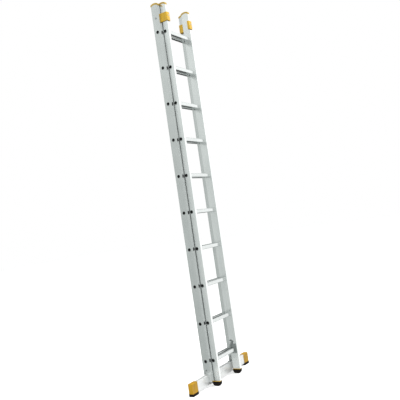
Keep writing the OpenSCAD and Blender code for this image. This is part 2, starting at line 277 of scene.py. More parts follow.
@dataclass(frozen=True)
class PaintedBoreShade:
    """Painted shade: the inside of a row of rungs' tubes, painted near black, matt and
    unmetallic where the real tubes lie in shade.
    """

    axis_y: float
    first_z: float
    pitch: float
    radius: float
    # painted shade: the near-black colour laid inside the tubes
    colour: Colour = (0.006, 0.007, 0.007)

    def mask(self, graph: Surface) -> bpy.types.NodeSocket:
        """Finds what is inside the tubes, where the shade is painted.

        Args:
            graph: the material's graph.

        Returns:
            A value socket: 1 inside a tube's bore and 0 outside.
        """
        split = graph.add("ShaderNodeSeparateXYZ")
        graph.join(graph.place(), split.inputs["Vector"])
        across = graph.sum("SUBTRACT", split.outputs["Y"], self.axis_y)
        up = graph.sum("SUBTRACT", split.outputs["Z"], self.first_z)
        up = graph.sum("WRAP", up, self.pitch / 2, -self.pitch / 2)
        far = graph.sum(
            "SQRT",
            graph.sum(
                "ADD",
                graph.sum("MULTIPLY", across, across),
                graph.sum("MULTIPLY", up, up),
            ),
        )
        return graph.sum("LESS_THAN", far, self.radius)


@dataclass(frozen=True)
class DrawnAluminium:
    """Extruded aluminium with fine draw lines along its length."""

    name: str
    along: Axis
    light: Colour = (0.78, 0.80, 0.795)
    dark: Colour = (0.66, 0.68, 0.675)
    roughness: float = 0.15
    metallic: float = 0.95
    line_density: float = 1500.0
    streak_density: float = 110.0
    # where set, shade is painted inside the rungs' tubes
    bore_shade: PaintedBoreShade | None = None

    def stretched(self, density: float, along: float) -> tuple[float, float, float]:
        """Gives a noise's density on each axis, with long cells along the draw."""
        scale = [density] * 3
        scale[self.along.value] = along
        return tuple(scale)

    def material(self) -> bpy.types.Material:
        """Makes the material.

        Returns:
            The material.
        """
        g = Surface(self.name)
        lines = g.noise(self.stretched(self.line_density, 3.0), 2.0)
        streaks = g.noise(self.stretched(self.streak_density, 0.7), 3.0, 0.6)
        clouds = g.noise((9.0, 9.0, 9.0), 3.0)
        smears = g.noise(self.stretched(26.0, 5.0), 4.0, 0.65)
        tone = g.sum("MULTIPLY", g.ranged(streaks, (0.3, 0.7), (0.0, 1.0)), 0.5)
        tone = g.sum("ADD", tone, g.ranged(clouds, (0.35, 0.65), (0.0, 0.35)))
        tone = g.sum("ADD", tone, g.ranged(lines, (0.3, 0.7), (0.0, 0.15)))
        colour = g.between(tone, self.dark, self.light)
        rough = g.sum("ADD", self.roughness, g.ranged(smears, (0.4, 0.75), (0.0, 0.14)))
        rough = g.sum("ADD", rough, g.ranged(lines, (0.35, 0.65), (-0.03, 0.04)))
        # painted shade: near black, matt and unmetallic inside the rungs' tubes
        if self.bore_shade:
            bore_shade_mask = self.bore_shade.mask(g)
            colour = g.between(bore_shade_mask, colour, self.bore_shade.colour)
            rough = g.sum("MAXIMUM", rough, g.sum("MULTIPLY", bore_shade_mask, 0.7))
            g.set(
                "Metallic", g.sum("MULTIPLY", g.sum("SUBTRACT", 1.0, bore_shade_mask), self.metallic)
            )
        else:
            g.set("Metallic", self.metallic)
        g.set("Base Color", colour)
        g.set("Roughness", rough)
        g.bump(lines, 0.05 * MM, 0.6)
        g.bump(smears, 0.03 * MM, 0.4)
        return g.material


@dataclass(frozen=True)
class MouldedPlastic:
    """Moulded plastic with a fine eroded grain, a little scuffed."""

    name: str
    colour: Colour
    scuffed: Colour
    roughness: float = 0.42
    refraction: float = 1.49
    grain_density: float = 2200.0

    def material(self) -> bpy.types.Material:
        """Makes the material.

        Returns:
            The material.
        """
        g = Surface(self.name)
        grain = g.noise((self.grain_density,) * 3, 2.0)
        flow = g.noise((38.0, 38.0, 14.0), 3.0)
        scuffs = g.noise((420.0, 60.0, 160.0), 4.0, 0.7)
        worn = g.ranged(scuffs, (0.62, 0.76), (0.0, 0.45))
        deep = tuple(c * 0.82 for c in self.colour)
        colour = g.between(g.ranged(flow, (0.35, 0.65), (0.0, 1.0)), deep, self.colour)
        g.set("Base Color", g.between(worn, colour, self.scuffed))
        rough = g.sum("ADD", self.roughness, g.ranged(grain, (0.3, 0.7), (-0.05, 0.07)))
        g.set("Roughness", g.sum("ADD", rough, g.sum("MULTIPLY", worn, 0.3)))
        g.set("IOR", self.refraction)
        g.bump(grain, 0.02 * MM, 0.5)
        g.bump(flow, 0.15 * MM, 0.2)
        return g.material


@dataclass(frozen=True)
class Rubber:
    """Matt rubber with a pebbled skin and dust in its hollows."""

    name: str
    colour: Colour = (0.007, 0.005, 0.004)
    dust: Colour = (0.026, 0.021, 0.017)

    def material(self) -> bpy.types.Material:
        """Makes the material.

        Returns:
            The material.
        """
        g = Surface(self.name)
        pebbles = g.noise((1300.0,) * 3, 3.0, 0.6)
        patches = g.noise((70.0,) * 3, 4.0, 0.6)
        dusty = g.ranged(patches, (0.5, 0.8), (0.0, 0.4))
        g.set("Base Color", g.between(dusty, self.colour, self.dust))
        g.set("Roughness", g.ranged(pebbles, (0.3, 0.7), (0.62, 0.85)))
        g.set("Specular IOR Level", 0.25)
        g.bump(pebbles, 0.12 * MM, 0.7)
        return g.material


@dataclass(frozen=True)
class Galvanised:
    """Hot-dip galvanised plate, with the crystals that the zinc sets in."""

    name: str
    light: Colour = (0.50, 0.53, 0.52)
    dark: Colour = (0.27, 0.29, 0.29)
    crystal_density: float = 190.0

    def material(self) -> bpy.types.Material:
        """Makes the material.

        Returns:
            The material.
        """
        g = Surface(self.name)
        cells = g.add("ShaderNodeTexVoronoi", feature="F1")
        cells.inputs["Scale"].default_value = 1.0
        g.join(g.place((self.crystal_density,) * 3), cells.inputs["Vector"])
        split = g.add("ShaderNodeSeparateColor")
        g.join(cells.outputs["Color"], split.inputs["Color"])
        facet = split.outputs["Red"]
        soft = g.noise((60.0,) * 3, 3.0)
        tone = g.sum("ADD", g.sum("MULTIPLY", facet, 0.6), g.sum("MULTIPLY", soft, 0.4))
        g.set("Base Color", g.between(tone, self.dark, self.light))
        g.set("Roughness", g.ranged(facet, (0.0, 1.0), (0.32, 0.52)))
        g.set("Metallic", 0.85)
        g.bump(split.outputs["Green"], 0.04 * MM, 0.4)
        return g.material


@dataclass(frozen=True)
class ZincPlate:
    """Bright zinc plating, faintly clouded."""

    name: str
    light: Colour = (0.66, 0.68, 0.68)
    dark: Colour = (0.45, 0.46, 0.45)

    def material(self) -> bpy.types.Material:
        """Makes the material.

        Returns:
            The material.
        """
        g = Surface(self.name)
        clouds = g.noise((240.0,) * 3, 3.0, 0.6)
        fine = g.noise((3000.0,) * 3, 1.0)
        g.set("Base Color", g.between(clouds, self.dark, self.light))
        g.set("Roughness", g.ranged(clouds, (0.3, 0.7), (0.24, 0.4)))
        g.set("Metallic", 0.95)
        g.bump(fine, 0.02 * MM, 0.4)
        return g.material


# --- modelling ---------------------------------------------------------------------------


class Form:
    """A mesh in the making, in the ladder's frame."""

    def __init__(self) -> None:
        """Starts an empty mesh."""
        self.mesh = bmesh.new()

    def block(self, low: Vector, high: Vector) -> "Form":
        """Adds a box between two corners."""
        middle = Matrix.Translation((Vector(low) + Vector(high)) / 2)
        size = Matrix.Diagonal((*(Vector(high) - Vector(low)), 1.0))
        bmesh.ops.create_cube(self.mesh, size=1.0, matrix=middle @ size)
        return self

    def rod(
        self, start: Vector, axis: Vector, length: float, radius: float, sides: int = 40
    ) -> "Form":
        """Adds a cylinder or, with few sides, a prism.

        Args:
            start: the middle of its first end.
            axis: the direction from there to the other end.
            length: its length.
            radius: its radius, to its corners.
            sides: how many sides it has.

        Returns:
            The form itself.
        """
        turn = Vector(axis).to_track_quat("Z", "Y").to_matrix().to_4x4()
        middle = Vector(start) + Vector(axis).normalized() * length / 2
        bmesh.ops.create_cone(
            self.mesh,
            cap_ends=True,
            segments=sides,
            radius1=radius,
            radius2=radius,
            depth=length,
            matrix=Matrix.Translation(middle) @ turn,
        )
        return self

    def prism(self, outline: Iterable[Sequence[float]], move: Vector) -> "Form":
        """Adds a flat outline, drawn out along a vector.

        Args:
            outline: its corners, in order.
            move: the vector.

        Returns:
            The form itself.
        """
        corners = [self.mesh.verts.new(p) for p in outline]
        face = self.mesh.faces.new(corners)
        drawn = bmesh.ops.extrude_face_region(self.mesh, geom=[face])["geom"]
        moved = [v for v in drawn if isinstance(v, bmesh.types.BMVert)]
        bmesh.ops.translate(self.mesh, verts=moved, vec=move)
        return self.outward()

    def outward(self) -> "Form":
        """Turns every face outwards."""
        bmesh.ops.recalc_face_normals(self.mesh, faces=self.mesh.faces[:])
        return self

    def keep(self, point: Vector, outward: Vector) -> "Form":
        """Cuts away what lies past a plane, and closes the cut.

        Args:
            point: a point on the plane.
            outward: the plane's normal, towards what goes.

        Returns:
            The form itself.
        """
        geometry = [*self.mesh.verts, *self.mesh.edges, *self.mesh.faces]
        made = bmesh.ops.bisect_plane(
            self.mesh,
            geom=geometry,
            plane_co=point,
            plane_no=outward,
            clear_outer=True,
        )
        cut = [e for e in made["geom_cut"] if isinstance(e, bmesh.types.BMEdge)]
        if cut:
            bmesh.ops.holes_fill(self.mesh, edges=cut)
        return self

    def score(self, point: Vector, normal: Vector) -> "Form":
        """Cuts every face along a plane, and takes nothing away."""
        geometry = [*self.mesh.verts, *self.mesh.edges, *self.mesh.faces]
        bmesh.ops.bisect_plane(
            self.mesh, geom=geometry, plane_co=point, plane_no=normal
        )
        return self

    def edges(self, chosen: Callable[[bmesh.types.BMEdge], bool]) -> list[bmesh.types.BMEdge]:
        """Lists the edges that a test picks."""
        return [e for e in self.mesh.edges if chosen(e)]

    def along(self, axis: Axis) -> list[bmesh.types.BMEdge]:
        """Lists the edges that run along an axis."""
        others = [a.value for a in Axis if a is not axis]
        return self.edges(
            lambda e: all(abs(e.verts[0].co[i] - e.verts[1].co[i]) < SAME for i in others)
        )

    def facing(self, direction: Vector, spread: float = 0.99) -> list[bmesh.types.BMFace]:
        """Lists the faces that look one way."""
        self.mesh.normal_update()
        way = Vector(direction).normalized()
        return [f for f in self.mesh.faces if f.normal.dot(way) > spread]

    def ease(
        self, edges: list[bmesh.types.BMEdge], radius: float, segments: int = 3
    ) -> "Form":
        """Rounds a list of edges.

        Args:
            edges: the edges.
            radius: the radius.
            segments: how many faces make up the round.

        Returns:
            The form itself.
        """
        bmesh.ops.bevel(
            self.mesh,
            geom=edges,
            offset=radius,
            offset_type="OFFSET",
            affect="EDGES",
            segments=segments,
            profile=0.5,
            material=-1,
            clamp_overlap=True,
        )
        return self

    def ease_sharp(self, radius: float, segments: int = 2, angle: float = 40.0) -> "Form":
        """Rounds every edge that is still sharper than an angle in degrees."""
        limit = math.radians(angle)
        self.mesh.normal_update()
        sharp = self.edges(lambda e: e.is_manifold and e.calc_face_angle(0.0) > limit)
        return self.ease(sharp, radius, segments)

    def panel(self, faces: list[bmesh.types.BMFace], border: float, depth: float) -> "Form":
        """Sinks a panel into each face, inside a border."""
        bmesh.ops.inset_individual(self.mesh, faces=faces, thickness=border)
        bmesh.ops.inset_individual(
            self.mesh, faces=faces, thickness=abs(depth), depth=-depth
        )
        return self

    def sink(self, faces: list[bmesh.types.BMFace], depth: float) -> "Form":
        """Pushes downward-facing faces up into the form, as grooves.

        Args:
            faces: the faces.
            depth: how deep.

        Returns:
            The form itself.
        """
        pushed = bmesh.ops.extrude_discrete_faces(self.mesh, faces=faces)["faces"]
        for face in pushed:
            bmesh.ops.translate(self.mesh, verts=face.verts[:], vec=(0, 0, depth))
        return self

    def mirrored(self, side: int) -> "Form":
        """Turns a right-hand form into the left-hand one when side is -1."""
        if side < 0:
            bmesh.ops.scale(self.mesh, vec=(-1, 1, 1), verts=self.mesh.verts[:])
            bmesh.ops.reverse_faces(self.mesh, faces=self.mesh.faces[:])
        return self


@dataclass
class Workshop:
    """Where forms become pieces and CAD nodes get their finish."""

    finishes: dict[str, bpy.types.Material]

    def dress(self, node: str, finish: str) -> None:
        """Gives a CAD node a finish."""
        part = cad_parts[node]
        part.data.materials.clear()
        part.data.materials.append(self.finishes[finish])
        LOG.info("dressed %s in %s", node, finish)

    def piece(
        self,
        form: Form,
        name: str,
        body: str,
        slot: str,
        stands_for: Sequence[str] = (),
        finish: str = "",
    ) -> bpy.types.Object:
        """Makes a form a piece of the ladder.

        Args:
            form: the finished mesh, in the ladder's frame.
            name: the piece's name.
            body: the CAD body that it moves with.
            slot: the record's slot that it takes its finish from.
            stands_for: the CAD nodes that it replaces.
            finish: a finish of its own, where it differs from the slot's.

        Returns:
            The piece.
        """
        bmesh.ops.remove_doubles(form.mesh, verts=form.mesh.verts[:], dist=SAME)
        data = bpy.data.meshes.new(name)
        form.mesh.to_mesh(data)
        form.mesh.free()
        data.shade_smooth()
        data.set_sharp_from_angle(angle=math.radians(SHARP))
        data.materials.append(self.finishes[finish or slot])
        made = bpy.data.objects.new(name, data)
        bpy.context.scene.collection.objects.link(made)
        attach(made, body)
        if stands_for:
            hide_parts(*stands_for)
        LOG.info("built %s on %s, %d faces", name, body, len(data.polygons))
        return made


# --- sub-assemblies ----------------------------------------------------------------------


@dataclass
class Section:
    """One of the ladder's two sections, read from the frame."""

    kind: str
    body: str

    @property
    def stile(self) -> tuple[Vector, Vector]:
        """The box of the right-hand stile."""
        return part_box(f"{self.kind}_stile_right")

    @property
    def rungs(self) -> list[str]:
        """The rungs' nodes, from the lowest up."""
        names = [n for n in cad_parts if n.startswith(f"{self.kind}_rung_")]
        return sorted(names, key=lambda n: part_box(n)[0].z)

    def rung_axis(self, number: int) -> Vector:
        """The middle of a rung, counted from 0 at the lowest."""
        low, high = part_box(self.rungs[number])
        return Vector((0, (low.y + high.y) / 2, (low.z + high.z) / 2))

    def bore_shade(self, radius: float) -> PaintedBoreShade:
        """Says where the insides of this section's rungs are, for the shade painted there."""
        first, second = self.rung_axis(0), self.rung_axis(1)
        return PaintedBoreShade(first.y, first.z, second.z - first.z, radius)

    def dress(self, shop: Workshop) -> None:
        """Gives the stiles and rungs their finish.

        Args:
            shop: where the finishes are.
        """
        for side in SIDES:
            # the fly's stiles get the lighter copy, which paints light on their webs
            shop.dress(f"{self.kind}_stile_{side}", f"{self.kind}_stile")
        # each rung's finish paints shade inside its tube
        for rung in self.rungs:
            shop.dress(rung, f"{self.kind}_rung")


@dataclass
class TopCap:
    """An arched cap that follows the end of a stile."""

    plug_length: float = 28 * MM
    wall: float = 2.1 * MM
    edge: float = 1.8 * MM
    steps: int = 28
    overrun: float = 0.02

    @staticmethod
    def rise(section: Section) -> float:
        """Measures how far a stile's crown stands above its back edge.

        Args:
            section: the stile's section.

        Returns:
            The rise.
        """
        _, high = section.stile
        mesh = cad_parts[f"{section.kind}_stile_right"].data
        edge = max(v.co.z for v in mesh.vertices if v.co.y > high.y - NEAR)
        return high.z - edge

    def build(self, section: Section, side: str, shop: Workshop) -> None:
        """Builds one cap: a band swept over the arch, and the plug under it.

        Args:
            section: the section that it tops.
            side: left or right.
            shop: where it becomes a piece.
        """
        node = f"{section.kind}_cap_{side}"
        low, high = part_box(f"{section.kind}_cap_right")
        stile_low, stile_high = section.stile
        depth = stile_high.y - stile_low.y
        rise = self.rise(section)
        radius = (depth**2 / 4 + rise**2) / (2 * rise)
        thick = high.z - stile_high.z
        centre = Vector((0, (low.y + high.y) / 2, stile_high.z - radius))
        half = math.asin((high.y - low.y) / 2 / (radius + thick / 2)) + self.overrun
        form = Form()
        corners = [
            form.mesh.verts.new((x, centre.y, centre.z + r))
            for x, r in (
                (low.x, radius),
                (high.x, radius),
                (high.x, radius + thick),
                (low.x, radius + thick),
            )
        ]
        band = form.mesh.faces.new(corners)
        bmesh.ops.rotate(
            form.mesh,
            verts=corners,
            cent=centre,
            matrix=Matrix.Rotation(half, 3, "X"),
        )
        bmesh.ops.spin(
            form.mesh,
            geom=[*form.mesh.verts, *form.mesh.edges, band],
            cent=centre,
            axis=(1, 0, 0),
            angle=-2 * half,
            steps=self.steps,
            use_merge=False,
            use_duplicate=False,
        )
        form.outward()
        form.keep(Vector((0, high.y, 0)), Vector((0, 1, 0)))
        form.keep(Vector((0, low.y, 0)), Vector((0, -1, 0)))
        plug_top = stile_high.z - rise
        form.keep(Vector((0, 0, plug_top)), Vector((0, 0, -1)))
        form.outward().ease_sharp(self.edge, 3)
        inset = Vector((self.wall, self.wall, 0))
        form.block(
            Vector((stile_low.x, stile_low.y, plug_top - self.plug_length)) + inset,
            Vector((stile_high.x, stile_high.y, plug_top)) - inset,
        )
        form.mirrored(SIDES[side])
        # the caps take the darker cap plastic, which paints shade on them
        shop.piece(
            form, node + ".moulded", section.body, "yellow_plastic", [node], "cap_plastic_painted_shade"
        )


@dataclass
class Guide:
    """The moulding that holds a fly stile against the base section."""

    front_thickness: float = 7 * MM
    lip_reach: float = 12 * MM
    shoulder_back: float = 1 * MM
    block_thickness: float = 17 * MM
    clearance: float = 0.8 * MM
    web_gap: float = 1.6 * MM
    rung_gap: float = 0.8 * MM
    corner: float = 5 * MM
    edge: float = 0.5 * MM
    shell: float = 1.7 * MM
    core_depth: float = 22 * MM
    panel_border: float = 7 * MM
    block_border: float = 4.9 * MM
    panel_depth: float = 1 * MM
    least_width: float = 20 * MM
    rear_margin: float = 0.5 * MM

    def outline(self) -> list[tuple[float, float]]:
        """Gives the guide's corners in plan, round the right-hand fly stile."""
        low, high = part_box("guide_right")
        base_low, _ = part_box("base_stile_right")
        fly_low, fly_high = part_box("fly_stile_right")
        base_face = base_low.x
        shoulder = base_face - self.shoulder_back
        base_front = base_low.y - self.clearance
        web = fly_high.x + self.web_gap
        flap = low.y + self.front_thickness
        lip_out = fly_low.x - self.clearance
        lip_end = flap + self.lip_reach
        block = base_face - self.block_thickness
        block_front = fly_high.y + self.rung_gap
        return [
            (low.x, low.y),
            (shoulder, low.y),
            (shoulder, base_front),
            (base_face, base_front),
            (base_face, high.y),
            (block, high.y),
            (block, block_front),
            (web, block_front),
            (web, flap),
            (lip_out, flap),
            (lip_out, lip_end),
            (low.x, lip_end),
        ]

    def core_out(self, form: Form) -> None:
        """Hollows the guide from below, as a moulding is.

        Args:
            form: the solid guide.
        """
        bottom = form.facing((0, 0, -1))
        bmesh.ops.inset_region(form.mesh, faces=bottom, thickness=self.shell)
        inner = max(form.facing((0, 0, -1)), key=lambda f: f.calc_area())
        form.sink([inner], self.core_depth)

    def build(self, side: str, shop: Workshop) -> None:
        """Builds one guide.

        Args:
            side: left or right.
            shop: where it becomes a piece.
        """
        low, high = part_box("guide_right")
        corners = [(x, y, low.z) for x, y in self.outline()]
        form = Form().prism(corners, Vector((0, 0, high.z - low.z)))
        self.core_out(form)
        front = [
            e for e in form.along(Axis.Z) if abs(e.verts[0].co.y - low.y) < NEAR
        ]
        broad = [
            f
            for f in form.facing((1, 0, 0))
            if f.calc_center_median().x < high.x - self.rear_margin
            and f.calc_area() > self.least_width * (high.z - low.z)
        ]
        form.panel(broad, self.panel_border, self.panel_depth)
        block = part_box("base_stile_right")[0].x - self.block_thickness
        rear = [
            f for f in form.facing((-1, 0, 0)) if abs(f.calc_center_median().x - block) < NEAR
        ]
        form.panel(rear, self.block_border, self.panel_depth)
        form.ease(front, self.corner, 5)
        form.ease_sharp(self.edge, 2).mirrored(SIDES[side])
        name = f"guide_{side}"
        shop.piece(
            form, name + ".moulded", "base_section", "yellow_plastic", [name], "guide_plastic"
        )


@dataclass
class Stabiliser:
    """The bar across the ladder's foot, with its end caps, soles and angles."""

    cap_wall: float = 3.5 * MM
    cap_corner: float = 4.5 * MM
    cap_edge: float = 1.5 * MM
    panel_border: float = 8 * MM
    panel_depth: float = 0.8 * MM
    sole_corner: float = 6 * MM
    cap_fit: float = 0.1 * MM
    tread_count: int = 9
    tread_depth: float = 1.5 * MM
    tread_half: float = 0.7 * MM
    tread_share: float = 0.1

    def end_cap(self, side: str, shop: Workshop) -> None:
        """Builds the sleeve over one end of the bar.

        Args:
            side: left or right.
            shop: where it becomes a piece.
        """
        low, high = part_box("bar_cap_right")
        form = Form().block(low, high)
        form.ease(form.along(Axis.X), self.cap_corner, 5)
        open_end = form.facing((-1, 0, 0))
        bmesh.ops.inset_region(
            form.mesh, faces=open_end, thickness=self.cap_wall - self.cap_fit
        )
        deep = bmesh.ops.extrude_face_region(form.mesh, geom=open_end)["geom"]
        inner = [v for v in deep if isinstance(v, bmesh.types.BMVert)]
        bmesh.ops.delete(form.mesh, geom=open_end, context="FACES_ONLY")
        bmesh.ops.translate(
            form.mesh, verts=inner, vec=(high.x - low.x - self.cap_wall, 0, 0)
        )
        form.outward()
        broad = [
            f
            for f in form.facing((0, -1, 0)) + form.facing((0, 1, 0))
            if abs(abs(f.calc_center_median().y - (low.y + high.y) / 2) - (high.y - low.y) / 2)
            < NEAR
        ]
        form.panel(broad, self.panel_border, self.panel_depth)
        form.ease_sharp(self.cap_edge, 3).mirrored(SIDES[side])
        name = f"bar_cap_{side}"
        # the bar's caps take the darker bar cap plastic, which paints shade on them
        shop.piece(
            form, name + ".moulded", "base_section", "yellow_plastic", [name], "bar_cap_plastic_painted_shade"
        )

    def sole(self, side: str, shop: Workshop) -> None:
        """Builds the treaded rubber under one end cap.

        Args:
            side: left or right.
            shop: where it becomes a piece.
        """
        low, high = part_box("bar_sole_right")
        cap_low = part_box("bar_cap_right")[0]
        form = Form().block(low, (high.x, high.y, cap_low.z))
        bottom = form.edges(lambda e: all(v.co.z < low.z + SAME for v in e.verts))
        form.ease([*form.along(Axis.Z), *bottom], self.sole_corner, 5)
        for n in range(1, self.tread_count):
            x = low.x + (high.x - low.x) * n / self.tread_count
            for edge in (-self.tread_half, self.tread_half):
                form.score(Vector((x + edge, 0, 0)), Vector((1, 0, 0)))
        pitch = (high.x - low.x) / self.tread_count
        between = 0.5 - self.tread_share
        strips = [
            f
            for f in form.facing((0, 0, -1))
            if abs((f.calc_center_median().x - low.x) / pitch % 1.0 - 0.5) > between
        ]
        form.sink(strips, self.tread_depth)
        top = form.facing((0, 0, 1))
        bmesh.ops.inset_region(form.mesh, faces=top, thickness=cap_low.y - low.y)
        rim = [
            f
            for f in form.facing((0, 0, 1))
            if f not in top and abs(f.calc_center_median().z - cap_low.z) < NEAR
        ]
        raised = bmesh.ops.extrude_face_region(form.mesh, geom=rim)["geom"]
        bmesh.ops.translate(
            form.mesh,
            verts=[v for v in raised if isinstance(v, bmesh.types.BMVert)],
            vec=(0, 0, high.z - cap_low.z),
        )
        bmesh.ops.delete(form.mesh, geom=rim, context="FACES_ONLY")
        form.outward().mirrored(SIDES[side])
        name = f"bar_sole_{side}"
        shop.piece(form, name + ".moulded", "base_section", "black_rubber", [name])

    def build(self, shop: Workshop) -> None:
        """Builds and dresses the stabiliser.

        Args:
            shop: where its pieces are made.
        """
        shop.dress("stabiliser_bar", "bar_aluminium")
        for side in SIDES:
            self.end_cap(side, shop)
            self.sole(side, shop)
            shop.dress(f"bar_angle_{side}", "zinc_steel")
            shop.dress(f"base_plug_{side}", "black_plastic")


@dataclass
class Foot:
    """A fly stile's foot: a coloured socket and a treaded rubber pad."""

    rim_height: float = 4 * MM
    corner: float = 3 * MM
    edge: float = 0.9 * MM
    wall: float = 2.1 * MM
    pad_radius: float = 34.5 * MM
    pad_cut: float = 4.5 * MM
    pad_edge: float = 1.2 * MM
    pad_sides: int = 72
    pad_angle: float = 50.0
    groove_count: int = 5
    groove_width: float = 1.4 * MM
    groove_depth: float = 1.6 * MM

    def socket(self, side: str, shop: Workshop) -> None:
        """Builds the coloured rim and the plug above it.

        Args:
            side: left or right.
            shop: where it becomes a piece.
        """
        low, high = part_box("foot_socket_right")
        stile_low, stile_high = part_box("fly_stile_right")
        form = Form().block(low, (high.x, high.y, low.z + self.rim_height))
        form.ease(form.along(Axis.Z), self.corner, 4).ease_sharp(self.edge, 2)
        inset = Vector((self.wall, self.wall, 0))
        form.block(
            Vector((stile_low.x, stile_low.y, low.z + self.rim_height)) + inset,
            Vector((stile_high.x, stile_high.y, high.z)) - inset,
        )
        form.mirrored(SIDES[side])
        name = f"foot_socket_{side}"
        shop.piece(form, name + ".moulded", "fly_section", "yellow_plastic", [name])

    def pad(self, side: str, shop: Workshop) -> None:
        """Builds the rubber pad, rounded up to its front and back.

        Args:
            side: left or right.
            shop: where it becomes a piece.
        """
        low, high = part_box("foot_pad_right")
        middle = (low.y + high.y) / 2
        centre = self.pad_radius - self.pad_cut
        form = Form().rod(
            Vector((low.x, middle, centre)),
            Vector((1, 0, 0)),
            high.x - low.x,
            self.pad_radius,
            self.pad_sides,
        )
        form.keep(Vector((0, 0, low.z)), Vector((0, 0, -1)))
        form.keep(Vector((0, 0, high.z)), Vector((0, 0, 1)))
        form.keep(Vector((0, low.y, 0)), Vector((0, -1, 0)))
        form.keep(Vector((0, high.y, 0)), Vector((0, 1, 0)))
        form.outward().ease_sharp(self.pad_edge, 3, self.pad_angle)
        self.tread(form, low, high)
        name = f"foot_pad_{side}"
        form.mirrored(SIDES[side])
        shop.piece(form, name + ".moulded", "fly_section", "black_rubber", [name])

    def tread(self, form: Form, low: Vector, high: Vector) -> None:
        """Sinks grooves across the flat under a pad.

        Args:
            form: the pad.
            low: the lowest corner of the pad.
            high: its highest corner.
        """
        middle = (low.y + high.y) / 2
        half = math.sqrt(self.pad_radius**2 - (self.pad_radius - self.pad_cut) ** 2)
        pitch = 2 * half / (self.groove_count + 1)
        places = [middle - half + pitch * n for n in range(1, self.groove_count + 1)]
        for place in places:
            for edge in (-self.groove_width / 2, self.groove_width / 2):
                form.score(Vector((0, place + edge, 0)), Vector((0, 1, 0)))
        strips = [
            f
            for f in form.facing((0, 0, -1))
            if any(
                abs(f.calc_center_median().y - place) < self.groove_width / 3
                for place in places
            )
        ]
        form.sink(strips, self.groove_depth)

    def build(self, shop: Workshop) -> None:
        """Builds both feet."""
        for side in SIDES:
            self.socket(side, shop)
            self.pad(side, shop)


@dataclass
class Hooks:
    """The plates, arms, pins and rivets at the fly section's lowest rung."""

    def dress(self, shop: Workshop) -> None:
        """Gives the hooks their finish.

        Args:
            shop: where the finishes are.
        """
        for side in SIDES:
            shop.dress(f"hook_plate_{side}", "galvanised_steel")
            shop.dress(f"hook_arm_{side}", "galvanised_steel")
        for node in ("hook_pins", "hook_rivets"):
            shop.dress(node, "zinc_steel")


@dataclass
class HexHead:
    """The head of a hexagon bolt, with its chamfer and the shank behind it."""

    flats: float
    height: float
    shank: float
    chamfer: float = 0.9 * MM
    dish_border: float = 1.2 * MM
    dish_depth: float = 0.4 * MM
    shank_sides: int = 24

    def add(self, form: Form, seat: Vector, outward: Vector, length: float) -> None:
        """Adds a bolt to a form.

        Args:
            form: the form that takes it.
            seat: the middle of the head's seat.
            outward: the way that the head points.
            length: the shank's length.
        """
        head = Form().rod(seat, outward, self.height, self.flats / math.sqrt(3), 6)
        top = head.facing(outward)
        rim = [e for f in top for e in f.edges]
        head.ease(rim, self.chamfer, 2)
        inner = head.facing(outward)
        bmesh.ops.inset_region(
            head.mesh, faces=inner, thickness=self.dish_border, depth=-self.dish_depth
        )
        head.rod(seat, -Vector(outward), length, self.shank / 2, self.shank_sides)
        data = bpy.data.meshes.new("bolt")
        head.mesh.to_mesh(data)
        head.mesh.free()
        form.mesh.from_mesh(data)
        bpy.data.meshes.remove(data)


@dataclass
class Fasteners:
    """The bolts, nuts and screws that hold the base section together."""

    m8: HexHead
    apart: float = 18 * MM

    def bolts(self, node: str, head: HexHead, places: Iterable[Vector], shop: Workshop) -> None:
        """Builds a set of bolts whose heads are on the stiles' outer faces.

        Args:
            node: the CAD node that they stand for.
            head: the bolts' head.
            places: where they are on the right-hand stile's outer face.
            shop: where they become a piece.
        """
        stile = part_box("base_stile_right")[1].x
        length = stile - self.reach(node)
        form = Form()
        for side in SIDES.values():
            for place in places:
                seat = Vector((side * stile, place.y, place.z))
                head.add(form, seat, Vector((side, 0, 0)), length)
        shop.piece(form, node + ".turned", "base_section", "zinc_steel", [node])

    @staticmethod
    def reach(node: str) -> float:
        """Finds how near to the ladder's middle a node comes."""
        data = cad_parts[node].data
        return min(abs(v.co.x) for v in data.vertices)

    def centres(self, node: str) -> list[Vector]:
        """Finds the middle of each right-hand solid of a node, from its outer end."""
        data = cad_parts[node].data
        face = max(v.co.x for v in data.vertices)
        ends = [v.co.copy() for v in data.vertices if v.co.x > face - NEAR]
        groups: list[list[Vector]] = []
        for point in ends:
            near = [g for g in groups if (g[0] - point).length < self.apart]
            if near:
                near[0].append(point)
            else:
                groups.append([point])
        middles = []
        for group in groups:
            ys, zs = [p.y for p in group], [p.z for p in group]
            middles.append(Vector((face, (min(ys) + max(ys)) / 2, (min(zs) + max(zs)) / 2)))
        return middles

    def build(self, shop: Workshop) -> None:
        """Builds the bolts, and dresses the nuts and screws.

        Args:
            shop: where the pieces are made.
        """
        for node in ("guide_bolts", "stile_bolts"):
            self.bolts(node, self.m8, self.centres(node), shop)
        for node in ("stile_nuts", "bar_bolts", "guide_screws"):
            shop.dress(node, "zinc_steel")


# --- studio ------------------------------------------------------------------------------


@dataclass
class SoftBox:
    """A large soft light."""

    name: str
    place: tuple[float, float, float]
    aim: tuple[float, float, float]
    size: tuple[float, float]
    watts: float
    colour: Colour = (1.0, 1.0, 1.0)

    def build(self) -> None:
        """Hangs the light."""
        data = bpy.data.lights.new(self.name, "AREA")
        data.shape = "RECTANGLE"
        data.size, data.size_y = self.size
        data.energy = self.watts
        data.color = self.colour
        lamp = bpy.data.objects.new(self.name, data)
        bpy.context.scene.collection.objects.link(lamp)
        lamp.location = self.place
        lamp.visible_glossy = False
        lamp.rotation_mode = "QUATERNION"
        way = Vector(self.aim) - Vector(self.place)
        lamp.rotation_quaternion = way.to_track_quat("-Z", "Y")


